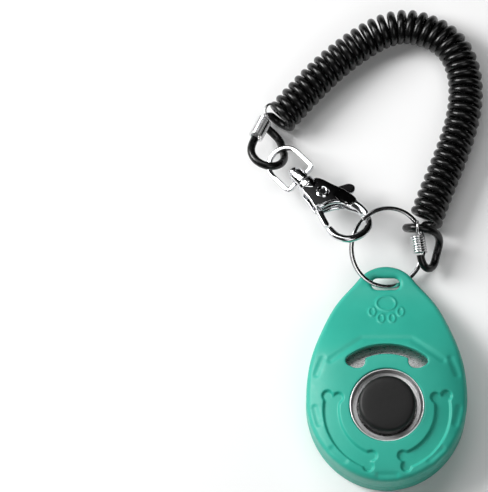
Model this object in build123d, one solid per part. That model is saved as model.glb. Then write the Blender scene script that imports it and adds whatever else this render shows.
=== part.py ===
from build123d import *
from math import cos, pi, radians, sin, tan
import os

# Clicker trainer lying on its back, in millimetres. +Z is the front, +Y points from the button to the
# keyring hole. The origin is on the resting plane, directly under the button's centre.

# ---- shell outline and thickness
HALF_WIDTH = 23.25
WIDEST_Y = 3.0
LOWER_RADIUS_Y = 25.2
TIP_Y = 43.5
TIP_RADIUS = 10.0
TIP_ANGLE = 37.0
FLANK_POINTS = [(21.9, 14.3), (18.4, 24.0), (13.2, 33.6)]
PARTING_Z = 5.2
WALL = 2.0
FRONT_TOP_Z = 15.0
FRONT_TIP_Z = 6.4
BACK_TIP_Z = 4.35
RAMP_START_Y, RAMP_END_Y = 12.0, 38.0
FRONT_EDGE_RADIUS, BACK_EDGE_RADIUS = 0.95, 0.75
FRONT_ROOM_END_Y, BACK_ROOM_END_Y = 30.0, 22.0
BACK_RISE_START_Y, BACK_RISE_END_Y = 22.0, 35.0

# ---- openings and relief in the front
BUTTON_HOLE_RADIUS = 10.8
SLOT_OUTER_RADIUS, SLOT_INNER_RADIUS, SLOT_HALF_ANGLE = 18.4, 15.2, 38.0
SLOT_LOBE = (8.6, 12.9, 2.4)
BONE_CENTRE_Y, BONE_RADIUS, BONE_START, BONE_END = -1.2, 16.1, 173.5, 244.5
BONE_WIDTH, BONE_KNOB_RADIUS, BONE_DEPTH = 4.6, 1.55, 0.9
BONE_KNOB_TURN, BONE_KNOB_SPREAD = 7.5, 1.6
ROOF_POINTS = [(-16.2, 13.6), (-7.0, 20.0), (7.0, 20.0), (16.2, 13.6)]
ROOF_WIDTH, ROOF_DEPTH = 1.6, 0.4
DIMPLE_DEPTH, DIMPLE_LENGTH, DIMPLE_WIDTH = 0.35, 6.0, 1.3
DIMPLE_PATH_RADII = (20.9, 23.6)
DIMPLE_ANGLES = [-90, -48, -132, -14, -166, 22, 158]
MARK_CENTRE_Y, MARK_HEIGHT, MARK_LINE_WIDTH = 30.6, 0.35, 0.45
MARK_PAD = (0, 1.4, 3.0, 2.5)
MARK_TOES = [(-4.1, -1.4), (4.1, -1.4), (-1.6, -3.6), (1.6, -3.6)]
MARK_TOE_RADII = (1.1, 1.6)
KEY_HOLE_Y, KEY_HOLE_LENGTH, KEY_HOLE_WIDTH = 38.3, 8.3, 3.6
KEY_HOLE_FRONT_EDGE, KEY_HOLE_BACK_EDGE = 1.1, 0.8

# ---- click mechanism
PLATE_TOP_Z, PLATE_THICKNESS, PLATE_INSET = 9.2, 0.8, 3.0
PLATE_LOW_Y, PLATE_HIGH_Y = -16.0, 20.5
POSTS = [(16.0, 11.5), (-16.0, 11.5), (12.5, -11.0), (-12.5, -11.0)]
POST_RADIUS, POST_PIN_RADIUS = 1.9, 1.0
BEZEL_WALL, BEZEL_FLOOR_Z, BEZEL_FLOOR_RADIUS = 0.6, 12.0, 8.6
CAP_RADIUS, CAP_TOP_Z, CAP_BOTTOM_Z, CAP_POCKET_RADIUS, CAP_POCKET_Z = 8.25, 17.2, 12.2, 5.0, 15.2
PLUNGER_RADIUS, PLUNGER_LOW_Z, PLUNGER_TIP_RADIUS = 2.5, 6.18, 1.5
BORE_CLEARANCE = 0.08
SPRING_RADIUS, SPRING_WIRE, SPRING_TURNS = 3.6, 0.28, 5
CLIP_RADIUS, CLIP_THICKNESS = 4.2, 0.8
REED_TOP_Z, REED_THICKNESS, REED_WIDTH = 6.0, 0.4, 12.0
REED_LOW_Y, REED_HIGH_Y = -8.0, 19.6
HOLDER_LOW_Y, HOLDER_HIGH_Y, HOLDER_HALF_WIDTH, HOLDER_LOW_Z = 15.0, 20.2, 12.5, 4.4
REED_PLAY = 0.4
HOLDER_RIVETS = [(10.0, 18.2), (-10.0, 18.2)]
HOLDER_RIVET_RADIUS, HOLDER_RIVET_HOLE_RADIUS, HOLDER_RIVET_HEAD_RADIUS = 0.8, 0.82, 1.3
HOLDER_RIVET_HEAD_THICKNESS = 0.5
REED_DIMPLE_RADII, REED_DIMPLE_DEPTH = (3.4, 2.6), 0.3

# ---- split ring
RING_RADIUS, RING_WIDTH, RING_THICKNESS = 11.4, 1.2, 1.1
RING_ROLL, RING_LEAN = 22.0, 18.5
RING_LOW_POINT = (0.5, 37.7, 4.85)

# ---- clasp, in its own plane: x towards the nose, y towards the thumb lever, z out of its face
CLASP_PLACE = (-26.6, 71.0, 8.85)
CLASP_HEADING, CLASP_PITCH, CLASP_ROLL, BAIL_ROLL = -47.2, 11.3, -18.3, 12.0
CHEEK_THICKNESS, HOOK_THICKNESS, GATE_THICKNESS, GATE_PLAY = 4.4, 1.8, 1.6, 0.1
COLLAR_RADIUS, COLLAR_START, COLLAR_END = 2.9, 4.6, 7.2
HOOK_EDGE_RADIUS = 0.5
RIVET_PLACE, RIVET_RADIUS, RIVET_HEAD_RADIUS, RIVET_HEAD_THICKNESS = (11.2, 0.8), 1.0, 1.9, 0.4
RIVET_CLEARANCE, RIVET_DISH_RADIUS, RIVET_DISH_DEPTH = 0.06, 0.9, 0.3
GATE_ELBOW, GATE_TIP, GATE_ARM_RADIUS = (14.3, -3.3), (19.65, -5.3), 0.92
LEVER_ROOT, LEVER_END, LEVER_RADIUS = (12.6, 3.4), (14.3, 8.6), 1.8
SPRING_POCKET_RADIUS, SPRING_POCKET_Z = 2.0, -0.3
GATE_SPRING_RADIUS, GATE_SPRING_WIRE, GATE_SPRING_TURNS = 1.5, 0.16, 2
THROUGH = (-5, 5)
CHEEK_OUTLINE = [
    (6.4, 2.7), (11.2, 5.1), (15.0, 6.7), (18.6, 7.5), (18.2, 4.4), (16.4, 3.2),
    (15.3, 0.6), (14.9, -1.6), (13.9, -4.2), (10.4, -3.6), (6.4, -2.7),
]
GATE_ROOM_X, GATE_ROOM_LENGTH = 12.3, 7.6
HOOK_OUTER = [
    (15.0, 6.7), (21.8, 7.8), (26.0, 6.8), (28.8, 4.3), (29.6, 0.4), (28.2, -4.2), (24.6, -6.7), (20.9, -6.6),
]
HOOK_INNER = [
    (21.4, -4.5), (24.3, -4.4), (26.5, -2.8), (27.4, 0.4), (26.8, 3.2), (24.8, 5.2), (21.6, 5.6), (15.6, 3.0),
]
POST_SHANK_RADIUS, POST_HEAD_RADIUS = 1.1, 1.7
BAIL_HALF_WIDTH, BAIL_WIRE, BAIL_BASE_X, BAIL_BEND_X = 5.7, 1.4, 3.6, -3.6
BOSS_RADIUS, BOSS_START, BOSS_END = 2.3, 0.5, 4.4

# ---- curly strap
CORD_DIAMETER, COIL_DIAMETER, COIL_Z = 2.3, 10.4, 5.25
COIL_ROUTE = [
    (-29.0, 90.2), (-20.5, 99.9), (-11.6, 108.0), (-1.3, 115.0), (6.8, 116.9), (15.1, 114.3),
    (20.2, 110.1), (22.9, 104.3), (23.9, 97.6), (23.0, 88.1), (19.1, 76.5), (14.6, 65.6), (11.6, 57.4),
]
RING_END_ROUTE = [
    (10.9, 56.1, 1.4), (8.2, 55.9, 1.9), (5.9, 55.4, 4.2), (6.1, 54.8, 7.6), (8.8, 54.1, 10.2),
    (12.4, 53.6, 9.6), (15.0, 53.1, 7.2), (15.9, 51.4, 4.3), (14.9, 48.0, 2.7), (14.0, 44.2, 3.3),
    (12.2, 42.7, 5.2), (10.4, 44.2, 7.1), (10.0, 46.6, 7.8),
]
CLASP_END_ROUTE = [
    (-29.6, 89.4, 1.6), (-30.6, 85.9, 1.9), (-30.6, 82.3, 2.6), (-29.9, 79.1, 4.1), (-29.2, 76.0, 6.3),
    (-30.6, 73.2, 9.2), (-33.6, 72.1, 11.1), (-36.8, 73.2, 11.0), (-38.9, 75.6, 10.4), (-39.3, 78.7, 9.6),
    (-38.0, 81.4, 8.8),
]
FERRULE_RADIUS, FERRULE_TURNS, FERRULE_GROOVE = 2.15, 10, 0.16
RING_FERRULE_LENGTH, CLASP_FERRULE_LENGTH = 5.8, 7.4

WORLD_TOP = 20.0


def front_height(x, y):
    """Height of the front's outer surface: a plateau that ramps down to the tip and falls to the sides."""
    step = min(max((y - RAMP_START_Y) / (RAMP_END_Y - RAMP_START_Y), 0.0), 1.0)
    ramp = step * step * (3 - 2 * step)
    side = (x / HALF_WIDTH) ** 2
    lower = max(-8.0 - y, 0.0) / 16.0
    centre = FRONT_TOP_Z - (FRONT_TOP_Z - FRONT_TIP_Z) * ramp - 3.0 * lower**3
    return centre - (1.0 * side + 3.0 * side * side) * (1 - 0.6 * ramp)


def height_surface(drop):
    """The front's outer surface, lowered by drop, as one smooth face over the whole outline."""
    xs = [-28 + 3.5 * i for i in range(17)]
    ys = [-29 + 3.5 * j for j in range(23)]
    rows = [[Vector(x, y, front_height(x, y) - drop) for x in xs] for y in ys]
    return Face.make_surface_from_array_of_points(rows, tol=0.01)


def split_by_height(part, drop, keep_lower=True):
    keep = Keep.TOP if keep_lower else Keep.BOTTOM
    return split(part, bisect_by=height_surface(drop), keep=keep)


def outline(inset=0.0):
    """Teardrop outline: half an ellipse below, curved flanks and a round tip, all set in by inset."""
    radius, tip_centre = TIP_RADIUS - inset, TIP_Y - TIP_RADIUS
    tip_x, tip_y = radius * cos(radians(TIP_ANGLE)), tip_centre + radius * sin(radians(TIP_ANGLE))
    outer = [(HALF_WIDTH, WIDEST_Y), *FLANK_POINTS, (tip_x, tip_y)]
    points = [(HALF_WIDTH - inset, WIDEST_Y)]
    for before, here, after in zip(outer, outer[1:], outer[2:]):
        along = (Vector(after) - Vector(before)).normalized()
        points.append((here[0] - inset * along.Y, here[1] + inset * along.X))
    points.append((tip_x, tip_y))
    flanks = []
    for side in (1, -1):
        leave = (-side * sin(radians(TIP_ANGLE)), cos(radians(TIP_ANGLE)))
        flanks.append(Spline(*[(side * x, y) for x, y in points], tangents=((0, 1), leave)))
    lower = EllipticalCenterArc(
        (0, WIDEST_Y), LOWER_RADIUS_Y - inset, HALF_WIDTH - inset, start_angle=90, arc_size=180, rotation=90
    )
    tip = ThreePointArc((tip_x, tip_y), (0, tip_centre + radius), (-tip_x, tip_y))
    return make_face([lower, tip, *flanks])


def band(inset, low_y, high_y):
    """The part of the inset outline between two y values."""
    return outline(inset) & (Pos(0, (low_y + high_y) / 2) * Rectangle(60, high_y - low_y))


def slab(sketch, low, high):
    """A flat sketch made solid between two heights."""
    return extrude(Pos(0, 0, low) * sketch, high - low)


def tube_z(x, y, low, high, radius, bore=0.0):
    """An upright round post or washer."""
    ring = Pos(x, y) * Circle(radius)
    if bore:
        ring -= Pos(x, y) * Circle(bore)
    return slab(ring, low, high)


def carve(sketch, depth):
    """The space of a recess that follows the front's surface at a constant depth."""
    return split_by_height(slab(sketch, PARTING_Z + 1, WORLD_TOP), depth, keep_lower=False)


def key_hole(low, high):
    return slab(Pos(0, KEY_HOLE_Y) * SlotOverall(KEY_HOLE_LENGTH, KEY_HOLE_WIDTH), low, high)


def round_key_hole(part, radius, side):
    """Rounds the keyring hole's edge at the front (side 1) or the back (side -1)."""
    half_x, half_y = KEY_HOLE_LENGTH / 2 + 0.1, KEY_HOLE_WIDTH / 2 + 0.1
    near = [
        e for e in part.edges()
        if abs(e.center().X) < half_x and abs(e.center().Y - KEY_HOLE_Y) < half_y
        and (e.center().Z - PARTING_Z) * side > 0.5
    ]
    return fillet(near, radius)


def crescent_slot():
    """Curved slot over the button, with a lobe at each end that reaches down beside the button."""
    middle = (SLOT_OUTER_RADIUS + SLOT_INNER_RADIUS) / 2
    arc = CenterArc((0, 0), middle, 90 - SLOT_HALF_ANGLE, 2 * SLOT_HALF_ANGLE)
    slot = SlotArc(arc, SLOT_OUTER_RADIUS - SLOT_INNER_RADIUS)
    x, y, radius = SLOT_LOBE
    return slot + [Pos(side * x, y) * SlotOverall(2 * radius, radius * 1.6) for side in (1, -1)]


def bone(side):
    """Bone-shaped recess beside the button: a curved shaft with two knobs at each end."""
    start, end = (BONE_START, BONE_END) if side < 0 else (180 - BONE_END, 180 - BONE_START)
    shaft = SlotArc(CenterArc((0, BONE_CENTRE_Y), BONE_RADIUS, start, end - start), BONE_WIDTH)
    for angle in (start - BONE_KNOB_TURN, end + BONE_KNOB_TURN):
        for radius in (BONE_RADIUS - BONE_KNOB_SPREAD, BONE_RADIUS + BONE_KNOB_SPREAD):
            spot = Pos(radius * cos(radians(angle)), BONE_CENTRE_Y + radius * sin(radians(angle)))
            shaft += spot * Circle(BONE_KNOB_RADIUS)
    return shaft


def roof():
    """Shallow groove over the slot."""
    return trace(Polyline(*ROOF_POINTS), ROOF_WIDTH)


def edge_dimples():
    """Shallow elongated grip marks round the lower edge."""
    marks = Sketch()
    for angle in DIMPLE_ANGLES:
        x = DIMPLE_PATH_RADII[0] * cos(radians(angle))
        y = WIDEST_Y + DIMPLE_PATH_RADII[1] * sin(radians(angle))
        marks += Pos(x, y) * Rot(0, 0, angle + 90) * SlotOverall(DIMPLE_LENGTH, DIMPLE_WIDTH)
    return marks


def raised_mark():
    """Generic raised outline of a paw: a round pad and four toes."""
    outer, inner = Sketch(), Sketch()
    for x, y, rx, ry in [MARK_PAD, *[(*toe, *MARK_TOE_RADII) for toe in MARK_TOES]]:
        outer += Pos(x, MARK_CENTRE_Y + y) * Ellipse(rx, ry)
        inner += Pos(x, MARK_CENTRE_Y + y) * Ellipse(rx - MARK_LINE_WIDTH, ry - MARK_LINE_WIDTH)
    return outer - inner


def front_shell():
    shell = split_by_height(slab(outline(), PARTING_Z, WORLD_TOP), 0)
    shell = fillet(shell.faces().sort_by(Axis.Z)[-1].edges(), FRONT_EDGE_RADIUS)
    shell = round_key_hole(shell - key_hole(PARTING_Z - 1, WORLD_TOP), KEY_HOLE_FRONT_EDGE, 1)
    room = slab(band(WALL, -30, FRONT_ROOM_END_Y), PARTING_Z - 1, WORLD_TOP)
    posts = Part()
    for x, y in POSTS:
        posts += tube_z(x, y, PLATE_TOP_Z, FRONT_TOP_Z, POST_RADIUS)
        posts += tube_z(x, y, PLATE_TOP_Z - PLATE_THICKNESS - 0.4, PLATE_TOP_Z, POST_PIN_RADIUS)
    shell = shell - split_by_height(room, WALL + 0.2)
    shell += split_by_height(posts, WALL)
    shell -= tube_z(0, 0, PARTING_Z, WORLD_TOP, BUTTON_HOLE_RADIUS)
    shell -= slab(crescent_slot(), PLATE_TOP_Z, WORLD_TOP)
    for side in (1, -1):
        shell -= carve(bone(side), BONE_DEPTH)
    shell -= carve(roof(), ROOF_DEPTH)
    shell -= carve(edge_dimples(), DIMPLE_DEPTH)
    mark = slab(raised_mark(), PARTING_Z + 1, WORLD_TOP)
    shell += split_by_height(split_by_height(mark, -MARK_HEIGHT), 1.0, keep_lower=False)
    return shell


def back_shell():
    rise = Spline((BACK_RISE_START_Y, 0), (BACK_RISE_END_Y, BACK_TIP_Z), tangents=((1, 0), (1, 0)))
    far, low = TIP_Y + 5, -3
    corners = [(BACK_RISE_END_Y, BACK_TIP_Z), (far, BACK_TIP_Z), (far, low), (BACK_RISE_START_Y, low)]
    rest = Polyline(*corners, (BACK_RISE_START_Y, 0))
    relief = extrude(Plane.YZ * make_face([rise, rest]), 40, both=True)
    shell = slab(outline(), 0, PARTING_Z) - relief
    lower = [e for e in shell.edges() if e.center().Z < PARTING_Z - 0.6 and e.geom_type != GeomType.LINE]
    shell = fillet(lower, BACK_EDGE_RADIUS)
    shell = round_key_hole(shell - key_hole(-1, PARTING_Z + 1), KEY_HOLE_BACK_EDGE, -1)
    return shell - slab(band(WALL, -30, BACK_ROOM_END_Y), WALL, PARTING_Z + 1)


def sound_plate():
    plate = slab(band(PLATE_INSET, PLATE_LOW_Y, PLATE_HIGH_Y), PLATE_TOP_Z - PLATE_THICKNESS, PLATE_TOP_Z)
    plate -= tube_z(0, 0, 0, WORLD_TOP, PLUNGER_RADIUS + BORE_CLEARANCE)
    for x, y in POSTS:
        plate -= tube_z(x, y, 0, WORLD_TOP, POST_PIN_RADIUS + 0.02)
    for x, y in HOLDER_RIVETS:
        plate -= tube_z(x, y, 0, WORLD_TOP, HOLDER_RIVET_HOLE_RADIUS)
    return plate


def button_bezel():
    """Bright cup that lines the button's hole, with a flat floor round the button."""
    outer, wall = BUTTON_HOLE_RADIUS - 0.03, BEZEL_WALL
    cup = tube_z(0, 0, PLATE_TOP_Z, FRONT_TOP_Z - 0.5, outer, outer - wall)
    cup = fillet(cup.edges().group_by(Axis.Z)[-1], 0.25)
    return cup + tube_z(0, 0, PLATE_TOP_Z, BEZEL_FLOOR_Z, outer - wall / 2, BEZEL_FLOOR_RADIUS)


def button_cap():
    cap = tube_z(0, 0, CAP_BOTTOM_Z, CAP_TOP_Z, CAP_RADIUS)
    cap = fillet(cap.edges().group_by(Axis.Z)[-1], 1.3)
    cap -= tube_z(0, 0, CAP_BOTTOM_Z - 1, CAP_POCKET_Z, CAP_POCKET_RADIUS)
    return cap - tube_z(0, 0, CAP_BOTTOM_Z, CAP_POCKET_Z + 1.0, PLUNGER_TIP_RADIUS)


def button_plunger():
    pin = tube_z(0, 0, PLUNGER_LOW_Z, CAP_POCKET_Z, PLUNGER_RADIUS)
    pin = fillet(pin.edges().group_by(Axis.Z)[0], 0.6)
    return pin + tube_z(0, 0, CAP_POCKET_Z - 1, CAP_POCKET_Z + 1.0, PLUNGER_TIP_RADIUS)


def plunger_clip():
    top = PLATE_TOP_Z - PLATE_THICKNESS - 0.1
    return tube_z(0, 0, top - CLIP_THICKNESS, top, CLIP_RADIUS, PLUNGER_RADIUS)


def coil_spring(radius, wire, low, high, turns):
    """Round-wire compression spring standing on z."""
    low, high = low + wire + 0.03, high - wire - 0.03
    path = Pos(0, 0, low) * Helix((high - low) / turns, high - low, radius)
    return sweep(Plane(path @ 0, z_dir=path % 0) * Circle(wire), path, is_frenet=True)


def click_reed():
    """Spring-steel tongue with a pressed dimple under the button."""
    centre_y, length = (REED_LOW_Y + REED_HIGH_Y) / 2, REED_HIGH_Y - REED_LOW_Y
    shape = Pos(0, centre_y) * RectangleRounded(REED_WIDTH, length, 1.5)
    reed = slab(shape, REED_TOP_Z - REED_THICKNESS, REED_TOP_Z)
    under, half = REED_TOP_Z - REED_THICKNESS, REED_THICKNESS / 2
    outer, inner = REED_DIMPLE_RADII
    reed -= tube_z(0, 0, under - 1, under + half, outer)
    return reed + tube_z(0, 0, under - REED_DIMPLE_DEPTH, under + half, outer, inner)


def reed_holder():
    size_y, top = HOLDER_HIGH_Y - HOLDER_LOW_Y, PLATE_TOP_Z - PLATE_THICKNESS
    centre_y = (HOLDER_HIGH_Y + HOLDER_LOW_Y) / 2
    block = slab(Pos(0, centre_y) * Rectangle(2 * HOLDER_HALF_WIDTH, size_y), HOLDER_LOW_Z, top)
    slot = Pos(0, centre_y) * Rectangle(REED_WIDTH + 0.5, size_y + 1)
    block -= slab(slot, REED_TOP_Z - REED_THICKNESS - REED_PLAY, REED_TOP_Z + REED_PLAY)
    for x, y in HOLDER_RIVETS:
        block -= tube_z(x, y, 0, WORLD_TOP, HOLDER_RIVET_HOLE_RADIUS)
    return block


def holder_rivets():
    rivets = []
    for x, y in HOLDER_RIVETS:
        rivet = tube_z(x, y, HOLDER_LOW_Z, PLATE_TOP_Z, HOLDER_RIVET_RADIUS)
        for low in (PLATE_TOP_Z, HOLDER_LOW_Z - HOLDER_RIVET_HEAD_THICKNESS):
            rivet += tube_z(x, y, low, low + HOLDER_RIVET_HEAD_THICKNESS, HOLDER_RIVET_HEAD_RADIUS)
        rivets.append(rivet)
    return Compound(rivets)


def ring_frame():
    """The split ring's plane: its lowest point lies in the keyring hole, its left side is up."""
    turn = Rot(RING_LEAN, 0, 0) * Rot(0, RING_ROLL, 0)
    low = Vector(*RING_LOW_POINT)
    centre = low + Vector(0, RING_RADIUS, 0).rotate(Axis.X, RING_LEAN)
    return Pos(*centre) * turn


def split_ring():
    """Two flat turns of spring wire, drawn as one ring with a groove between the turns."""
    inner, outer, half = RING_RADIUS - RING_WIDTH / 2, RING_RADIUS + RING_WIDTH / 2, RING_THICKNESS / 2
    ring = extrude(Circle(outer) - Circle(inner), half, both=True)
    ring = fillet(ring.edges(), 0.25)
    groove = extrude(Circle(outer + 1) - Circle(outer - 0.12), 0.05, both=True)
    return ring_frame() * (ring - groove)


def clasp_frame(roll):
    x, y, z = CLASP_PLACE
    return Pos(x, y, z) * Rot(0, 0, CLASP_HEADING) * Rot(0, -CLASP_PITCH, 0) * Rot(roll, 0, 0)


def bar_x(start, end, radius, bore=0.0):
    """A round bar or sleeve along the clasp's axis."""
    face = Circle(radius) - Circle(bore) if bore else Circle(radius)
    return extrude(Plane.YZ.offset(start) * face, end - start)


def flat(face, thickness):
    return extrude(face, thickness / 2, both=True)


def hook_face():
    outer = Spline(*HOOK_OUTER)
    inner = Spline(*HOOK_INNER)
    ends = [Line(HOOK_OUTER[-1], HOOK_INNER[0]), Line(HOOK_INNER[-1], HOOK_OUTER[0])]
    return make_face([outer, inner, *ends])


def clasp_body():
    cheeks = flat(make_face(Polyline(*CHEEK_OUTLINE, close=True)), CHEEK_THICKNESS)
    cheeks = fillet(cheeks.edges().filter_by(Axis.Z), 0.4)
    cheeks = chamfer(cheeks.edges().group_by(Axis.Z)[0] + cheeks.edges().group_by(Axis.Z)[-1], 0.35)
    gate_room = Pos(GATE_ROOM_X, 1.0) * Rectangle(GATE_ROOM_LENGTH, 20)
    cheeks -= flat(gate_room, GATE_THICKNESS + 2 * GATE_PLAY)
    hook = flat(hook_face(), HOOK_THICKNESS)
    hook = fillet([e for e in hook.edges() if e.length > 10], HOOK_EDGE_RADIUS)
    hook -= flat(gate_room, HOOK_THICKNESS + 1)
    collar = bar_x(COLLAR_START, COLLAR_END, COLLAR_RADIUS)
    collar = fillet(collar.edges(), 0.3)
    body = cheeks + hook + collar
    body -= bar_x(COLLAR_START - 1, COLLAR_START + 2.4, POST_SHANK_RADIUS)
    return body - slab(Pos(*RIVET_PLACE) * Circle(RIVET_RADIUS), *THROUGH)


def clasp_gate():
    """Flat lever on the rivet: one arm closes the hook, the other is the thumb lever."""
    hub = Pos(*RIVET_PLACE) * Circle(2.4)
    root, elbow, tip = Pos(*RIVET_PLACE) * Circle(1.7), Pos(*GATE_ELBOW), Pos(*GATE_TIP)
    arm = make_hull((root + elbow * Circle(GATE_ARM_RADIUS)).edges())
    arm += make_hull((elbow * Circle(GATE_ARM_RADIUS) + tip * Circle(GATE_ARM_RADIUS)).edges())
    lever = make_hull((Pos(*LEVER_ROOT) * Circle(1.4) + Pos(*LEVER_END) * Circle(LEVER_RADIUS)).edges())
    gate = flat(hub + arm + lever, GATE_THICKNESS)
    gate -= slab(Pos(*RIVET_PLACE) * Circle(RIVET_RADIUS + RIVET_CLEARANCE), *THROUGH)
    return gate - slab(Pos(*RIVET_PLACE) * Circle(SPRING_POCKET_RADIUS), SPRING_POCKET_Z, CHEEK_THICKNESS)


def gate_spring():
    """Torsion spring round the rivet, in the gate's pocket."""
    top = GATE_THICKNESS / 2
    turns = coil_spring(GATE_SPRING_RADIUS, GATE_SPRING_WIRE, SPRING_POCKET_Z, top, GATE_SPRING_TURNS)
    return Pos(*RIVET_PLACE, 0) * turns


def gate_rivet():
    half = CHEEK_THICKNESS / 2
    rivet = slab(Pos(*RIVET_PLACE) * Circle(RIVET_RADIUS), -half, half)
    for low in (-half - RIVET_HEAD_THICKNESS, half):
        rivet += slab(Pos(*RIVET_PLACE) * Circle(RIVET_HEAD_RADIUS), low, low + RIVET_HEAD_THICKNESS)
    return rivet - slab(Pos(*RIVET_PLACE) * Circle(RIVET_DISH_RADIUS), half - RIVET_DISH_DEPTH, half + 1)


def swivel_post():
    post = bar_x(BOSS_START - 0.1, COLLAR_START + 2.4, POST_SHANK_RADIUS)
    head = bar_x(BOSS_START - 1.7, BOSS_START - 0.1, POST_HEAD_RADIUS)
    return post + fillet(head.edges(), 0.4)


def clasp_bail():
    """Stirrup with a boss that turns on the swivel post."""
    def stirrup(half, back):
        length = back - BAIL_BEND_X
        legs = Pos(BAIL_BEND_X + length / 2, 0) * Rectangle(length, 2 * half)
        return Pos(BAIL_BEND_X, 0) * Circle(half) + legs

    inside = stirrup(BAIL_HALF_WIDTH - BAIL_WIRE, BAIL_BASE_X - BAIL_WIRE)
    frame = stirrup(BAIL_HALF_WIDTH, BAIL_BASE_X) - inside
    bail = fillet(flat(frame, BAIL_WIRE).edges(), 0.4)
    bail += fillet(bar_x(BOSS_START, BOSS_END, BOSS_RADIUS).edges(), 0.3)
    return bail - bar_x(BOSS_START - 1, BOSS_END + 1, POST_SHANK_RADIUS + 0.05)


def arc_radii(points):
    """Arc radius at each corner of a route: 0.45 of the shorter run over the tangent of half the turn."""
    radii = []
    for a, b, c in zip(points, points[1:], points[2:]):
        first, second = Vector(b) - Vector(a), Vector(c) - Vector(b)
        turn = first.get_angle(second)
        radii.append(0.45 * min(first.length, second.length) / tan(radians(turn / 2)))
    return radii


def tube(points, diameter, name):
    """A cord's solid: straight runs joined by tangent arcs."""
    radii = arc_radii(points)
    path = FilletPolyline(*points, radius=radii)
    solid = sweep(Plane(path @ 0, z_dir=path % 0) * Circle(diameter / 2), path)
    print(name, "radii", [round(r, 1) for r in radii], "length", round(path.length, 1))
    straight_volume = path.length * pi * diameter**2 / 4
    print(name, "volume over section x length", round(solid.volume / straight_volume, 4))
    return solid


def ferrule(route, length):
    """Close-wound wire sleeve at a route's end, as a ribbed bar in line with the last run."""
    place = Plane(origin=route[-1], z_dir=Vector(route[-1]) - Vector(route[-2]))
    sleeve = extrude(place * Circle(FERRULE_RADIUS), length)
    groove = Circle(FERRULE_RADIUS + 1) - Circle(FERRULE_RADIUS - FERRULE_GROOVE)
    for i in range(1, FERRULE_TURNS):
        middle = length * i / FERRULE_TURNS
        sleeve -= extrude(place.offset(middle - FERRULE_GROOVE / 2) * groove, FERRULE_GROOVE)
    return sleeve


def build():
    swivel = clasp_frame(CLASP_ROLL)
    coil_points = [(x, y, COIL_Z) for x, y in COIL_ROUTE]
    return {
        "front_shell": front_shell(),
        "back_shell": back_shell(),
        "button_bezel": button_bezel(),
        "sound_plate": sound_plate(),
        "reed_holder": reed_holder(),
        "holder_rivets": holder_rivets(),
        "click_reed": click_reed(),
        "button_cap": button_cap(),
        "button_plunger": button_plunger(),
        "plunger_clip": plunger_clip(),
        "button_spring": coil_spring(SPRING_RADIUS, SPRING_WIRE, PLATE_TOP_Z, CAP_POCKET_Z, SPRING_TURNS),
        "split_ring": split_ring(),
        "clasp_body": swivel * clasp_body(),
        "clasp_gate": swivel * clasp_gate(),
        "gate_spring": swivel * gate_spring(),
        "gate_rivet": swivel * gate_rivet(),
        "swivel_post": swivel * swivel_post(),
        "clasp_bail": clasp_frame(BAIL_ROLL) * clasp_bail(),
        "strap_coil": tube(coil_points, COIL_DIAMETER, "strap_coil"),
        "strap_end_ring_side": tube(RING_END_ROUTE, CORD_DIAMETER, "strap_end_ring_side"),
        "strap_end_clasp_side": tube(CLASP_END_ROUTE, CORD_DIAMETER, "strap_end_clasp_side"),
        "ferrule_ring_side": ferrule(RING_END_ROUTE, RING_FERRULE_LENGTH),
        "ferrule_clasp_side": ferrule(CLASP_END_ROUTE, CLASP_FERRULE_LENGTH),
    }


os.makedirs("parts", exist_ok=True)
for name, piece in build().items():
    export_step(piece, f"parts/{name}.step")
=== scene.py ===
from math import cos, pi, radians, sin

import bmesh
import bpy
import numpy as np
from mathutils import Matrix, Vector
from mathutils.geometry import delaunay_2d_cdt


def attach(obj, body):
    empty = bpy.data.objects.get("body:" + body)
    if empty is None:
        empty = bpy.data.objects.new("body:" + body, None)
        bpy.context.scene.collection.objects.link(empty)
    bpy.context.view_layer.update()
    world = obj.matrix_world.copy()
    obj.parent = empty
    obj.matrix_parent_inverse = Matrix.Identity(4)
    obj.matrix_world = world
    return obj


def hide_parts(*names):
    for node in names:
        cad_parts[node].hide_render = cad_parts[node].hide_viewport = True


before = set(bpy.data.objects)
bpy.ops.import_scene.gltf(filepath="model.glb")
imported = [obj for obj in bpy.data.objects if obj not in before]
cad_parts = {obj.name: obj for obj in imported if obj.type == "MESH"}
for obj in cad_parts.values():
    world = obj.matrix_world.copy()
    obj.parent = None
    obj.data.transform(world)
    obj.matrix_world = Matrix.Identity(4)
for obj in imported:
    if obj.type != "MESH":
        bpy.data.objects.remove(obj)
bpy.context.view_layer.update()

MM = 0.001
UP = Vector((0, 0, 1))
scene = bpy.context.scene

# Lengths of pieces are in millimetres, in the CAD model's frame, and become metres in the mesh
# helpers. Materials and lights are in metres.

# ------------------------------------------------------------------ mesh helpers


def add_object(name, data, body, material, replaces=()):
    obj = bpy.data.objects.new(name, data)
    scene.collection.objects.link(obj)
    data.materials.append(material)
    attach(obj, body)
    if replaces:
        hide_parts(*replaces)
    return obj


def add_mesh(name, points, faces, body, material, replaces=(), sharp=35):
    """A smooth mesh piece from points in millimetres; edges over the sharp angle stay crisp."""
    mesh = bpy.data.meshes.new(name)
    mesh.from_pydata([Vector(p) * MM for p in points], [], faces)
    tidy = bmesh.new()
    tidy.from_mesh(mesh)
    bmesh.ops.recalc_face_normals(tidy, faces=tidy.faces)
    tidy.to_mesh(mesh)
    tidy.free()
    mesh.polygons.foreach_set("use_smooth", [True] * len(mesh.polygons))
    mesh.set_sharp_from_angle(angle=radians(sharp))
    return add_object(name, mesh, body, material, replaces)


def apply_modifiers(obj):
    """Makes an object's modifiers part of its mesh."""
    shape = obj.evaluated_get(bpy.context.evaluated_depsgraph_get())
    mesh = bpy.data.meshes.new_from_object(shape)
    obj.modifiers.clear()
    obj.data = mesh


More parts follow.
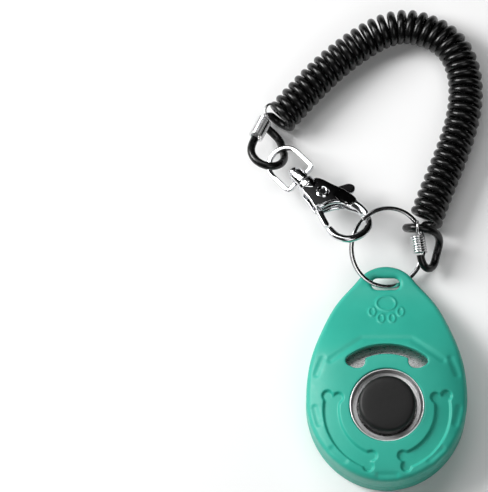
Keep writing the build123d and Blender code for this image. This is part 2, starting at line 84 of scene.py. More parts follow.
def quads_between(rows, count, closed=True):
    """Faces that join rows of points, each row a closed section of count points."""
    faces = []
    for i in range(rows if closed else rows - 1):
        here, there = i * count, (i + 1) % rows * count
        for k in range(count):
            n = (k + 1) % count
            faces.append((here + k, here + n, there + n, there + k))
    return faces


def lathe(profile, steps=96):
    """Points and faces of a closed profile of (radius, height) turned about z."""
    points = []
    for i in range(steps):
        a = 2 * pi * i / steps
        points += [(r * cos(a), r * sin(a), z) for r, z in profile]
    return points, quads_between(steps, len(profile))


def frames_along(path, closed=False):
    """Direction, side and up at each point of a path, carried along without twist."""
    path = [Vector(p) for p in path]
    last = len(path) - 1
    tangents = []
    for i in range(len(path)):
        before = path[i - 1] if i or closed else path[0]
        after = path[(i + 1) % len(path)] if i < last or closed else path[last]
        tangents.append((after - before).normalized())
    side = tangents[0].orthogonal().normalized()
    out = []
    for t in tangents:
        side = (side - t * side.dot(t)).normalized()
        out.append((t, side, t.cross(side)))
    return out


def sweep(path, section, flat=None, closed=False):
    """Tube along a path. section(i) gives (side, up) offsets; flat is the way that up points."""
    points = []
    for i, (centre, (t, side, up)) in enumerate(zip(path, frames_along(path, closed))):
        if flat is not None:
            side = t.cross(flat).normalized()
            up = side.cross(t).normalized()
        points += [Vector(centre) + side * a + up * b for a, b in section(i)]
    rows, count = len(path), len(section(0))
    faces = quads_between(rows, count, closed)
    if not closed:
        faces.append(tuple(range(count)))
        faces.append(tuple(range((rows - 1) * count, rows * count)))
    return points, faces


def rounded(width, height, power=2.6, count=20):
    """Closed section between an ellipse and a rounded rectangle."""
    out = []
    for k in range(count):
        a = 2 * pi * k / count
        c, s = cos(a), sin(a)
        out.append((
            width / 2 * abs(c) ** (2 / power) * (1 if c >= 0 else -1),
            height / 2 * abs(s) ** (2 / power) * (1 if s >= 0 else -1),
        ))
    return out


def smooth_curve(points, steps=8, closed=False):
    """Points on a Catmull-Rom curve through the given ones."""
    pts = [Vector(p) for p in points]
    if closed:
        pts = [pts[-1], *pts, pts[0], pts[1]]
    else:
        pts = [2 * pts[0] - pts[1], *pts, 2 * pts[-1] - pts[-2]]
    out = []
    for a, b, c, d in zip(pts, pts[1:], pts[2:], pts[3:]):
        for k in range(steps):
            t = k / steps
            out.append(0.5 * (
                2 * b + (c - a) * t + (2 * a - 5 * b + 4 * c - d) * t**2
                + (3 * b - a - 3 * c + d) * t**3
            ))
    if not closed:
        out.append(pts[-2])
    return out


def plate(outline, low, high):
    """Points and faces of a flat outline made solid between two heights."""
    count = len(outline)
    points = [(p[0], p[1], low) for p in outline] + [(p[0], p[1], high) for p in outline]
    faces = [tuple(range(count))[::-1], tuple(range(count, 2 * count))]
    for k in range(count):
        n = (k + 1) % count
        faces.append((k, n, count + n, count + k))
    return points, faces


# ------------------------------------------------------------------ materials

# A noise texture's values mostly lie between these two.
NOISE_LOW, NOISE_HIGH = 0.3, 0.7


def new_material(name):
    material = bpy.data.materials.new(name)
    material.use_nodes = True
    return material, material.node_tree, material.node_tree.nodes["Principled BSDF"]


def noise(tree, scale, detail=3.0, roughness=0.5, stretch=(1, 1, 1)):
    """Noise over the object's own coordinates; scale is in features per metre."""
    coordinates = tree.nodes.new("ShaderNodeTexCoord")
    mapping = tree.nodes.new("ShaderNodeMapping")
    mapping.inputs["Scale"].default_value = stretch
    texture = tree.nodes.new("ShaderNodeTexNoise")
    texture.inputs["Scale"].default_value = scale
    texture.inputs["Detail"].default_value = detail
    texture.inputs["Roughness"].default_value = roughness
    tree.links.new(coordinates.outputs["Object"], mapping.inputs["Vector"])
    tree.links.new(mapping.outputs["Vector"], texture.inputs["Vector"])
    return texture.outputs["Fac"]


def spread(tree, value, low, high):
    """Maps a noise value's middle range to low...high."""
    node = tree.nodes.new("ShaderNodeMapRange")
    node.inputs["From Min"].default_value = NOISE_LOW
    node.inputs["From Max"].default_value = NOISE_HIGH
    node.inputs["To Min"].default_value = low
    node.inputs["To Max"].default_value = high
    tree.links.new(value, node.inputs["Value"])
    return node.outputs["Result"]


def tint(tree, shader, value, dark, light):
    """Base colour between two colours by a value."""
    ramp = tree.nodes.new("ShaderNodeValToRGB")
    first, last = ramp.color_ramp.elements
    first.position, last.position = NOISE_LOW, NOISE_HIGH
    first.color, last.color = (*dark, 1), (*light, 1)
    tree.links.new(value, ramp.inputs["Fac"])
    tree.links.new(ramp.outputs["Color"], shader.inputs["Base Color"])


def grain(tree, shader, value, depth):
    """Bump from a value; depth is in metres."""
    node = tree.nodes.new("ShaderNodeBump")
    node.inputs["Strength"].default_value = 1.0
    node.inputs["Distance"].default_value = depth
    tree.links.new(value, node.inputs["Height"])
    tree.links.new(node.outputs["Normal"], shader.inputs["Normal"])


def moulded_plastic(name, dark, light, rough, depth=0.000012, coat=0.0):
    """Injection-moulded plastic: faint cloudy colour, fine satin texture, uneven gloss."""
    material, tree, shader = new_material(name)
    tint(tree, shader, noise(tree, 120, 4), dark, light)
    tree.links.new(spread(tree, noise(tree, 700, 3), *rough), shader.inputs["Roughness"])
    grain(tree, shader, noise(tree, 4200, 3, 0.6), depth)
    shader.inputs["Specular IOR Level"].default_value = 0.35
    shader.inputs["Coat Weight"].default_value = coat
    shader.inputs["Coat Roughness"].default_value = 0.2
    return material


def plated_metal(name, dark, light, rough, depth=0.0000008, stretch=(1, 1, 1)):
    """Plated or polished metal with faint handling marks."""
    material, tree, shader = new_material(name)
    shader.inputs["Metallic"].default_value = 1.0
    tint(tree, shader, noise(tree, 260, 4, 0.6), dark, light)
    marks = noise(tree, 900, 5, 0.65, stretch)
    tree.links.new(spread(tree, marks, *rough), shader.inputs["Roughness"])
    grain(tree, shader, noise(tree, 1500, 4, 0.6, stretch), depth)
    return material


TEAL = moulded_plastic("teal_plastic", (0.026, 0.385, 0.290), (0.032, 0.420, 0.318), (0.40, 0.5))
BLACK = moulded_plastic("black_button", (0.005,) * 3, (0.008,) * 3, (0.42, 0.55))
DARK = moulded_plastic("dark_plastic", (0.020, 0.020, 0.022), (0.035, 0.035, 0.037), (0.45, 0.6))
CORD = moulded_plastic(
    "black_cord", (0.002,) * 3, (0.004,) * 3, (0.22, 0.32), depth=0.000005, coat=0.1,
)
CHROME = plated_metal("chrome_plate", (0.68, 0.69, 0.71), (0.82, 0.82, 0.83), (0.06, 0.14))
NICKEL = plated_metal("nickel_wire", (0.62, 0.62, 0.63), (0.78,) * 3, (0.10, 0.2))
SATIN = plated_metal("satin_cup", (0.93,) * 3, (0.98,) * 3, (0.42, 0.5))
PLATE = plated_metal("tinned_plate", (0.74,) * 3, (0.86,) * 3, (0.22, 0.36), stretch=(1, 6, 1))
STEEL = plated_metal(
    "spring_steel", (0.42, 0.43, 0.45), (0.58, 0.59, 0.61), (0.22, 0.38),
    depth=0.0000015, stretch=(5, 1, 1),
)

CAD_LOOKS = {
    "front_shell": TEAL, "back_shell": TEAL, "button_bezel": CHROME, "sound_plate": PLATE,
    "reed_holder": DARK, "holder_rivets": STEEL, "click_reed": STEEL, "button_cap": BLACK,
    "button_plunger": DARK, "plunger_clip": STEEL, "button_spring": STEEL, "split_ring": NICKEL,
    "clasp_body": CHROME, "clasp_gate": CHROME, "gate_spring": STEEL, "gate_rivet": CHROME,
    "swivel_post": CHROME, "clasp_bail": CHROME,
    "ferrule_ring_side": NICKEL, "ferrule_clasp_side": NICKEL,
    "strap_coil": CORD, "strap_end_ring_side": CORD, "strap_end_clasp_side": CORD,
}
for node_name, look in CAD_LOOKS.items():
    cad_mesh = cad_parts[node_name].data
    cad_mesh.materials.clear()
    cad_mesh.materials.append(look)

# ------------------------------------------------------------------ camera, light, floor

VIEW_CENTRE = Vector((-41.2, 49.2, 7.5)) * MM
VIEW_DISTANCE, VIEW_ELEVATION = 2.0, radians(75)
SENSOR_SIDE, LENS = 36, 503.5
camera_data = bpy.data.cameras.new("camera")
camera_data.sensor_fit = "VERTICAL"
camera_data.sensor_width = SENSOR_SIDE
camera_data.sensor_height = SENSOR_SIDE
camera_data.lens = LENS
camera = bpy.data.objects.new("camera", camera_data)
scene.collection.objects.link(camera)
back = Vector((0, -cos(VIEW_ELEVATION), sin(VIEW_ELEVATION)))
camera.location = VIEW_CENTRE + back * VIEW_DISTANCE
camera.rotation_euler = (-back).to_track_quat("-Z", "Y").to_euler()
scene.camera = camera

LIGHT_AIM = Vector((0, 0.03, 0))


def soft_light(name, location, size, power):
    data = bpy.data.lights.new(name, "AREA")
    data.shape = "RECTANGLE"
    data.size, data.size_y = size
    data.energy = power
    light = bpy.data.objects.new(name, data)
    light.location = location
    light.rotation_euler = (LIGHT_AIM - Vector(location)).to_track_quat("-Z", "Y").to_euler()
    scene.collection.objects.link(light)


soft_light("key", (-0.62, 0.22, 0.46), (0.4, 0.4), 7.4)
soft_light("fill", (0.30, -0.35, 0.70), (0.5, 0.5), 1.3)
soft_light("top", (-0.15, 0.45, 0.85), (0.9, 0.3), 2.4)

# A studio with a bright upper left, a dark wall to the upper right and a light grey ceiling.
world = bpy.data.worlds.new("studio")
world.use_nodes = True
scene.world = world
sky = world.node_tree
sky_coordinates = sky.nodes.new("ShaderNodeTexCoord")


def sky_patch(direction, start, stop, level_start, level_stop):
    """Brightness that changes from one level to another with the closeness to a direction."""
    dot = sky.nodes.new("ShaderNodeVectorMath")
    dot.operation = "DOT_PRODUCT"
    dot.inputs[1].default_value = Vector(direction).normalized()
    sky.links.new(sky_coordinates.outputs["Generated"], dot.inputs[0])
    fade = sky.nodes.new("ShaderNodeMapRange")
    fade.interpolation_type = "SMOOTHSTEP"
    sockets = ("From Min", "From Max", "To Min", "To Max")
    for socket, value in zip(sockets, (start, stop, level_start, level_stop)):
        fade.inputs[socket].default_value = value
    sky.links.new(dot.outputs["Value"], fade.inputs["Value"])
    return fade.outputs["Result"]


def combine(operation, first, second):
    node = sky.nodes.new("ShaderNodeMath")
    node.operation = operation
    sky.links.new(first, node.inputs[0])
    sky.links.new(second, node.inputs[1])
    return node.outputs["Value"]


ceiling = sky_patch((0, -0.05, 1), 0.30, 0.62, 0.25, 0.95)
softbox = sky_patch((-0.55, 0.25, 0.75), 0.78, 0.90, 0.0, 1.1)
dark_wall = sky_patch((0.75, 0.55, 0.38), 0.72, 0.84, 1.0, 0.04)
dark_side = sky_patch((0.85, -0.15, 0.35), 0.75, 0.90, 1.0, 0.06)
brightness = combine("ADD", ceiling, softbox)
brightness = combine("MULTIPLY", brightness, dark_wall)
brightness = combine("MULTIPLY", brightness, dark_side)
sky.links.new(brightness, sky.nodes["Background"].inputs["Strength"])

FLOOR_REACH = 3
floor_material, floor_tree, floor_shader = new_material("pale_floor")
tint(floor_tree, floor_shader, noise(floor_tree, 20, 2), (0.93,) * 3, (0.95,) * 3)
floor_shader.inputs["Roughness"].default_value = 0.8
floor_mesh = bpy.data.meshes.new("floor")
floor_corners = [
    (x * FLOOR_REACH, y * FLOOR_REACH, 0) for x, y in ((-1, -1), (1, -1), (1, 1), (-1, 1))
]
floor_mesh.from_pydata(floor_corners, [], [(0, 1, 2, 3)])
floor_mesh.materials.append(floor_material)
floor = bpy.data.objects.new("floor", floor_mesh)
scene.collection.objects.link(floor)
scene.view_settings.view_transform = "Standard"

# ------------------------------------------------------------------ curly cord

CORD_DIAMETER, COIL_DIAMETER, COIL_Z = 2.3, 10.4, 5.25
COIL_ROUTE = [
    (-29.0, 90.2), (-20.5, 99.9), (-11.6, 108.0), (-1.3, 115.0), (6.8, 116.9), (15.1, 114.3),
    (20.2, 110.1), (22.9, 104.3), (23.9, 97.6), (23.0, 88.1), (19.1, 76.5), (14.6, 65.6),
    (11.6, 57.4),
]
RING_END_ROUTE = [
    (10.9, 56.1, 1.4), (8.2, 55.9, 1.9), (5.9, 55.4, 4.2), (6.1, 54.8, 7.6), (8.8, 54.1, 10.2),
    (12.4, 53.6, 9.6), (15.0, 53.1, 7.2), (15.9, 51.4, 4.3), (14.9, 48.0, 2.7), (14.0, 44.2, 3.3),
    (12.2, 42.7, 5.2), (10.4, 44.2, 7.1), (10.0, 46.6, 7.8),
]
CLASP_END_ROUTE = [
    (-35.1, 89.4, 2.9), (-35.0, 86.8, 2.6), (-32.6, 84.6, 2.2), (-30.6, 82.3, 2.6),
    (-29.9, 79.1, 4.1), (-29.2, 76.0, 6.3), (-30.6, 73.2, 9.2), (-33.6, 72.1, 11.1),
    (-36.8, 73.2, 11.0), (-38.9, 75.6, 10.4), (-39.3, 78.7, 9.6), (-38.0, 81.4, 8.8),
]
# The coil's first turn and a bit lie before the route's start, where the cord runs on straight.
COIL_TURNS, TURN_POINTS, COIL_START_TURN = 44, 14, 9 / 8
PIECE_STEPS, MEASURE_STEPS = 6, 24


def nurbs(name, points):
    """A smooth open line with the points as its control points, in metres."""
    data = bpy.data.curves.new(name, "CURVE")
    data.dimensions = "3D"
    spline = data.splines.new("NURBS")
    spline.points.add(len(points) - 1)
    for point, position in zip(spline.points, points):
        point.co = (*(Vector(position) * MM), 1)
    spline.order_u = 3
    spline.use_endpoint_u = True
    spline.resolution_u = PIECE_STEPS
    return data


def points_on(name, points):
    """Points of a route's smooth line, in millimetres."""
    data = nurbs(name, points)
    data.splines[0].resolution_u = MEASURE_STEPS
    carrier = bpy.data.objects.new(name, data)
    scene.collection.objects.link(carrier)
    bpy.context.view_layer.update()
    line = bpy.data.meshes.new_from_object(carrier)
    out = np.array([v.co for v in line.vertices]) / MM
    bpy.data.objects.remove(carrier)
    bpy.data.curves.remove(data)
    bpy.data.meshes.remove(line)
    return out


def walk(line, fraction):
    """Point and direction at a fraction of a line's length; below zero it runs straight on."""
    steps = np.linalg.norm(np.diff(line, axis=0), axis=1)
    reach = np.concatenate([[0], np.cumsum(steps)])
    goal = fraction * reach[-1]
    position = [np.interp(goal, reach, line[:, k]) for k in range(3)]
    near = min(max(int(np.searchsorted(reach, goal, side="right")) - 1, 0), len(steps) - 1)
    along = Vector((line[near + 1] - line[near]) / steps[near])
    return Vector(position) + along * min(0.0, fraction) * reach[-1], along


def coil_points():
    """Turns of a helix about the coil's route."""
    line = points_on("coil_route", [(x, y, COIL_Z) for x, y in COIL_ROUTE])
    radius = (COIL_DIAMETER - CORD_DIAMETER) / 2
    count = COIL_TURNS * TURN_POINTS
    out = []
    for i in range(-round(COIL_START_TURN * TURN_POINTS), count + 1):
        angle = 2 * pi * (i / TURN_POINTS)
        centre, along = walk(line, i / count)
        out.append(centre + radius * (along.cross(UP) * sin(angle) - UP * cos(angle)))
    return out


cord_route = [*reversed(CLASP_END_ROUTE), *coil_points(), *RING_END_ROUTE]
cord_data = nurbs("curly_cord", cord_route)
cord_data.bevel_depth = CORD_DIAMETER / 2 * MM
cord_data.bevel_resolution = 5
cord_data.use_fill_caps = True
curly_cord = add_object(
    "curly_cord", cord_data, "strap", CORD,
    ("strap_coil", "strap_end_ring_side", "strap_end_clasp_side"),
)

# ------------------------------------------------------------------ frames of the tilted pieces


def placed(points, frame_matrix):
    return [frame_matrix @ Vector(p) for p in points]


def turned(axis, degrees):
    return Matrix.Rotation(radians(degrees), 4, axis)


RING_RADIUS, RING_ROLL, RING_LEAN, RING_LOW_POINT = 11.4, 22.0, 18.5, (0.5, 37.7, 4.85)
RING_TILT = turned("X", RING_LEAN) @ turned("Y", RING_ROLL)
RING_CENTRE = Vector(RING_LOW_POINT) + turned("X", RING_LEAN) @ Vector((0, RING_RADIUS, 0))
RING_FRAME = Matrix.Translation(RING_CENTRE) @ RING_TILT

CLASP_PLACE, CLASP_HEADING, CLASP_PITCH = (-26.6, 71.0, 8.85), -47.2, 11.3
CLASP_ROLL, BAIL_ROLL = -18.3, 12.0


def clasp_frame(roll):
    heading = Matrix.Translation(CLASP_PLACE) @ turned("Z", CLASP_HEADING)
    return heading @ turned("Y", -CLASP_PITCH) @ turned("X", roll)


CLASP_FRAME, BAIL_FRAME = clasp_frame(CLASP_ROLL), clasp_frame(BAIL_ROLL)


def add_casting(
    name, parts, frame_matrix, body, material, replaces, grid=0.1, rounds=6, reshape=None,
):
    """Overlapping closed shapes fused into one softly rounded casting, then put in place."""
    points, faces = [], []
    for part_points, part_faces in parts:
        start = len(points)
        points += [Vector(p) for p in part_points]
        faces += [tuple(start + k for k in face) for face in part_faces]
    obj = add_mesh(name, points, faces, body, material, replaces)
    remesh = obj.modifiers.new("fuse", "REMESH")
    remesh.mode = "VOXEL"
    remesh.voxel_size = grid * MM
    smooth = obj.modifiers.new("soften", "SMOOTH")
    smooth.factor, smooth.iterations = 0.5, rounds
    apply_modifiers(obj)
    if reshape:
        reshape(obj)
    in_metres = frame_matrix.copy()
    in_metres.translation *= MM
    obj.data.transform(in_metres)
    obj.data.polygons.foreach_set("use_smooth", [True] * len(obj.data.polygons))
    return obj


def bar_x(profile, steps=64):
    """A closed profile of (radius, place along x) turned about the clasp's axis."""
    points, faces = lathe(profile, steps)
    return [(z, x, y) for x, y, z in points], faces


def capsule_path(points, widths, height, steps=6):
    """A flat bar with round ends through points in the clasp's plane."""
    flat_points = smooth_curve([(x, y, w) for (x, y), w in zip(points, widths)], steps)
    path = [Vector((p.x, p.y, 0)) for p in flat_points]
    sizes = [p.z for p in flat_points]
    start = (path[0] - path[1]).normalized() * sizes[0] / 2
    end = (path[-1] - path[-2]).normalized() * sizes[-1] / 2
    angles = [radians(a) for a in (80, 60, 40, 20)]
    head = [(path[0] + start * sin(a), sizes[0] * cos(a)) for a in angles]
    tail = [(path[-1] + end * sin(a), sizes[-1] * cos(a)) for a in reversed(angles)]
    rows = head + list(zip(path, sizes)) + tail
    return sweep([p for p, _ in rows], lambda i: rounded(rows[i][1], height, 4, 24), UP)


# ------------------------------------------------------------------ split ring

WIRE_WIDTH, WIRE_THICKNESS, WIRE_STEP = 1.2, 0.52, 0.28
CROSSING, CROSSING_PLACE = radians(14), radians(150)


def ring_path():
    """Two close turns; the wire steps from the lower turn to the upper one over a short crossing."""
    start, stop, count = CROSSING * 1.2, 4 * pi - CROSSING * 1.2, 360
    path = []
    for i in range(count + 1):
        a = start + (stop - start) * i / count
        cross = min(max((a - 2 * pi + CROSSING) / (2 * CROSSING), 0), 1)
        height = WIRE_STEP * (2 * cross * cross * (3 - 2 * cross) - 1)
        turn = a + CROSSING_PLACE
        path.append((RING_RADIUS * cos(turn), RING_RADIUS * sin(turn), height))
    return path


ring_points, ring_faces = sweep(
    ring_path(), lambda i: rounded(WIRE_WIDTH, WIRE_THICKNESS, 3, 20), UP,
)
add_mesh(
    "split_ring_wire", placed(ring_points, RING_FRAME), ring_faces,
    "ring", NICKEL, ("split_ring",),
)

# ------------------------------------------------------------------ ferrules

FERRULE_WIRE, FERRULE_WIRE_RADIUS, FERRULE_TURN_POINTS = 0.36, 1.85, 16
RING_FERRULE_TAIL = [
    (9.0, 52.6, 11.0), (9.2, 53.6, 12.0), (9.2, 55.0, 11.9), (9.2, 55.9, 10.6), (9.3, 55.7, 8.8),
]
CLASP_FERRULE_TAIL = [
    (-35.2, 89.4, 8.4), (-34.8, 91.2, 8.6), (-33.4, 92.4, 7.6), (-31.9, 91.9, 6.2),
    (-31.6, 90.6, 5.2),
]


def ferrule(name, route, length, turns, tail, replaces):
    """Close turns of wire in line with the cord's end, with the wire's tail hooked over the coil."""
    base, along = Vector(route[-1]), (Vector(route[-1]) - Vector(route[-2])).normalized()
    side = along.orthogonal().normalized()
    other = along.cross(side)
    count = turns * FERRULE_TURN_POINTS
    points = []
    for i in range(count + 1):
        a = 2 * pi * i / FERRULE_TURN_POINTS
        reach = FERRULE_WIRE + (length - 2 * FERRULE_WIRE) * i / count
        points.append(base + along * reach + FERRULE_WIRE_RADIUS * (side * cos(a) + other * sin(a)))
    data = nurbs(name, [*points, *tail])
    data.bevel_depth = FERRULE_WIRE * MM
    data.bevel_resolution = 3
    data.use_fill_caps = True
    return add_object(name, data, "strap", NICKEL, replaces)


ferrule(
    "ring_ferrule_wire", RING_END_ROUTE, 5.8, 7, RING_FERRULE_TAIL, ("ferrule_ring_side",),
)
ferrule(
    "clasp_ferrule_wire", CLASP_END_ROUTE, 7.4, 9, CLASP_FERRULE_TAIL, ("ferrule_clasp_side",),
)

# ------------------------------------------------------------------ clasp

HOOK_OUTER = [
    (15.0, 6.7), (21.8, 7.8), (26.0, 6.8), (28.8, 4.3), (29.6, 0.4), (28.2, -4.2), (24.6, -6.7),
    (20.9, -6.6),
]
HOOK_INNER = [
    (15.6, 3.0), (21.6, 5.6), (24.8, 5.2), (26.8, 3.2), (27.4, 0.4), (26.5, -2.8), (24.3, -4.4),
    (21.4, -4.5),
]
HOOK_THICKNESS, HOOK_SWELL, HOOK_SWELL_SHARE = 1.9, 1.1, 0.28
RIM_SPINE = [
    (13.7, -3.9, 1.75), (14.6, -2.6, 1.8), (15.1, -0.6, 1.8), (15.8, 1.3, 1.75), (17.2, 3.3, 1.5),
    (19.4, 4.9, 1.1), (21.7, 5.7, 0.6), (23.4, 5.7, 0.3),
]
CHEEK_OUTLINE = [
    (6.4, 2.7), (11.2, 5.1), (15.0, 6.7), (18.6, 7.5), (18.2, 4.4), (16.4, 3.2),
    (15.3, 0.6), (14.9, -1.6), (13.9, -4.2), (10.4, -3.6), (6.4, -2.7),
]
NOSE_OUTLINE = [(16.1, 7.0), (18.6, 7.4), (18.3, 4.6), (16.4, 3.3), (16.1, 3.2)]
CHEEK_LOW, CHEEK_HIGH, FILLING_HALF = 0.9, 2.2, 1.2
FILLING_START_X, FILLING_END_X = 6.2, 8.5
RIVET_PLACE = (11.2, 0.8)


def flat_curve(points, steps=8, closed=False):
    """Smooth curve through points in the clasp's plane."""
    return smooth_curve([(x, y, 0) for x, y in points], steps, closed)


def hook_bar():
    """The hook, from between the cheeks, where it is thickest, round to its end."""
    sides = zip(flat_curve(HOOK_OUTER), flat_curve(HOOK_INNER))
    rows = [((outer + inner) / 2, (outer - inner).length) for outer, inner in sides]

    def section(i):
        swell = 1.0 + HOOK_SWELL * max(0.0, 1 - i / (len(rows) * HOOK_SWELL_SHARE)) ** 1.5
        return rounded(rows[i][1], HOOK_THICKNESS * swell, 2.5, 24)

    return sweep([centre for centre, _ in rows], section, UP)


def cheek_rim(side):
    """Raised rim of the hook's opening, running up over one cheek's edge into the hook."""
    path = smooth_curve([(x, y, side * z) for x, y, z in RIM_SPINE], 6)
    return sweep(path, lambda i: rounded(1.0, 1.3, 2.2, 16))


def cheek_parts():
    """Two cheeks with the gate's gap between them, filled at the collar and at the hook."""
    outline = [(p.x, p.y) for p in flat_curve(CHEEK_OUTLINE, 5, closed=True)]
    filling = [(max(FILLING_START_X, x), y) for x, y in outline if x < FILLING_END_X]
    return [
        plate(outline, CHEEK_LOW, CHEEK_HIGH), plate(outline, -CHEEK_HIGH, -CHEEK_LOW),
        plate(filling, -FILLING_HALF, FILLING_HALF), plate(NOSE_OUTLINE, -FILLING_HALF, FILLING_HALF),
    ]


COLLAR = [
    (1.15, 4.6), (2.6, 4.6), (2.9, 4.9), (2.9, 6.5), (2.65, 6.9), (2.4, 7.6), (2.2, 8.2),
    (1.15, 8.2),
]
SKIN_LOW, SKIN_RAMP = 0.95, 0.6
BOW, BOW_MIDDLE_Y, BOW_REACH = 0.13, 1.0, 5.0
THINNING, THIN_FROM_X, THIN_RAMP = 0.8, 13.5, 5.0


def crown_cheeks(obj):
    """Bows the cheeks' flat faces a little and thins them towards the hook."""
    for vertex in obj.data.vertices:
        x, y, z = vertex.co / MM
        reach, past = abs(z), abs(z) - SKIN_LOW
        if past > 0 and 8 < x < 19.5 and y > 2.5:
            thin = min(max((x - THIN_FROM_X) / THIN_RAMP, 0), 1)
            reach = SKIN_LOW + past * (1 - THINNING * thin * thin)
        skin = min(max(past / SKIN_RAMP, 0), 1)
        bow = BOW * ((y - BOW_MIDDLE_Y) / BOW_REACH) ** 2 * skin if 6.4 < x < 19 else 0
        vertex.co.z = (1 if z > 0 else -1) * reach * (1 - bow) * MM


add_casting(
    "clasp_casting", [hook_bar(), cheek_rim(1), cheek_rim(-1), *cheek_parts(), bar_x(COLLAR)],
    CLASP_FRAME, "clasp", CHROME, ("clasp_body",), reshape=crown_cheeks,
)


def at_rivet(points):
    return [(x + RIVET_PLACE[0], y + RIVET_PLACE[1], z) for x, y, z in points]


POST = [
    (0.0, -1.3), (0.6, -1.25), (1.1, -1.1), (1.5, -0.8), (1.68, -0.4), (1.7, 0.2), (1.5, 0.4),
    (1.1, 0.4), (1.1, 7.0), (0.0, 7.0),
]
post_points, post_faces = bar_x(POST)
add_mesh(
    "swivel_pin", placed(post_points, CLASP_FRAME), post_faces,
    "clasp", CHROME, ("swivel_post",),
)
RIVET = [
    (0.0, -2.6), (1.7, -2.6), (1.9, -2.4), (1.9, -2.2), (1.0, -2.2), (1.0, 2.2), (1.9, 2.2),
    (1.95, 2.4), (1.7, 2.65), (1.35, 2.65), (1.05, 2.45), (0.85, 2.0), (0.0, 1.9),
]
rivet_points, rivet_faces = lathe(RIVET, 48)
add_mesh(
    "gate_pin", placed(at_rivet(rivet_points), CLASP_FRAME), rivet_faces,
    "clasp", CHROME, ("gate_rivet",),
)

GATE_THICKNESS = 1.6
GATE_HUB = [(1.08, -0.78), (2.3, -0.78), (2.4, -0.6), (2.4, 0.6), (2.3, 0.78), (1.08, 0.78)]
GATE_ARM, GATE_ARM_WIDTHS = (
    [(12.9, -1.0), (14.1, -3.0), (16.8, -4.4), (19.65, -5.3)], [2.6, 2.1, 1.84, 1.84],
)
GATE_LEVER, GATE_LEVER_WIDTHS = [(12.6, 3.6), (13.4, 6.0), (14.3, 8.6)], [2.8, 3.4, 3.6]
hub_points, hub_faces = lathe(GATE_HUB, 48)
gate_parts = [
    (at_rivet(hub_points), hub_faces),
    capsule_path(GATE_ARM, GATE_ARM_WIDTHS, GATE_THICKNESS),
    capsule_path(GATE_LEVER, GATE_LEVER_WIDTHS, GATE_THICKNESS),
]
add_casting(
    "thumb_gate", gate_parts, CLASP_FRAME, "gate", CHROME, ("clasp_gate",),
    grid=0.08, rounds=3,
)

BAIL_HALF, BAIL_BEND_X, BAIL_BASE_X, BAIL_CORNER = 5.0, -3.6, 2.9, 0.9
BAIL_THICKNESS = 1.4
BOSS = [(1.16, 0.5), (2.0, 0.5), (2.3, 0.8), (2.35, 2.4), (2.3, 4.0), (2.1, 4.35), (1.16, 4.4)]


def bail_path():
    """The bail's bend, its two straight legs and the bar that turns on the post."""
    half, base, corner = BAIL_HALF, BAIL_BASE_X, BAIL_CORNER
    bend = [radians(90 + 180 * i / 40) for i in range(41)]
    leg = [
        (-1.5, half), (0.5, half), (base - corner, half), (base - 0.2, half - 0.25),
        (base, half - corner), (base, 2),
    ]
    path = [(BAIL_BEND_X + half * cos(a), half * sin(a), 0) for a in bend]
    path += [(x, -y, 0) for x, y in leg]
    return path + [(base, 0, 0)] + [(x, y, 0) for x, y in reversed(leg)]


bail_wire = sweep(
    bail_path(), lambda i: rounded(BAIL_THICKNESS, BAIL_THICKNESS, 5, 24), UP, closed=True,
)
add_casting(
    "swivel_bail", [bail_wire, bar_x(BOSS)], BAIL_FRAME,
    "bail", CHROME, ("clasp_bail",),
)

# ------------------------------------------------------------------ push button and its cup


def arc_profile(centre_r, centre_z, radius, start, stop, steps=8):
    """Part of a round edge in a turned profile, between two angles in degrees."""
    angles = [radians(start + (stop - start) * i / steps) for i in range(steps + 1)]
    return [(centre_r + radius * cos(a), centre_z + radius * sin(a)) for a in angles]


CAP = [(0.0, 15.2), (4.9, 15.2), (5.0, 15.1), (5.0, 12.2), (8.1, 12.2), (8.25, 12.4)]
CAP += arc_profile(6.95, 15.75, 1.3, 0, 80) + [(6.2, 17.12), (5.0, 17.16), (3.0, 17.19), (0.0, 17.2)]
cap_points, cap_faces = lathe(CAP, 128)
add_mesh("push_cap", cap_points, cap_faces, "button", BLACK, ("button_cap",))

CUP = [(10.77, 9.2), (10.77, 14.2)] + arc_profile(10.55, 14.25, 0.22, 10, 170, 6)
CUP += [
    (10.28, 14.0), (10.22, 13.2), (10.16, 12.7), (10.06, 12.42), (9.9, 12.28), (9.72, 12.24),
    (9.68, 12.16), (9.3, 12.1), (9.26, 12.03), (8.75, 11.98), (8.6, 11.85), (8.6, 9.2),
]
cup_points, cup_faces = lathe(CUP, 128)
add_mesh("button_cup", cup_points, cup_faces, "clicker", SATIN, ("button_bezel",))

# ------------------------------------------------------------------ front shell

HALF_WIDTH, WIDEST_Y, LOWER_RADIUS_Y = 23.25, 3.0, 25.2
TIP_Y, TIP_RADIUS, TIP_ANGLE = 43.5, 10.0, radians(37)
FLANK = [(HALF_WIDTH, WIDEST_Y), (21.9, 14.3), (18.4, 24.0), (13.2, 33.6)]
PARTING_Z, PARTING_GROOVE = 5.2, 0.18

# The front falls away over a ramp towards the tip, at the sides and past the lower start.
FRONT_TOP_Z, FRONT_TIP_Z, RAMP_START_Y, RAMP_END_Y = 15.0, 6.4, 12.0, 38.0
LOWER_START_Y, LOWER_REACH, LOWER_DROP = -8.0, 16.0, 3.0
SIDE_DROP, SIDE_FLATTENING = 3.0, 0.6

# The skin's inside lies a wall below the front, and reaches the parting near the outline and in
# the tip.
WALL, THIN_WALL, RIM_WIDTH, SOLID_FROM_Y = 2.2, 0.4, 2.0, 28.0

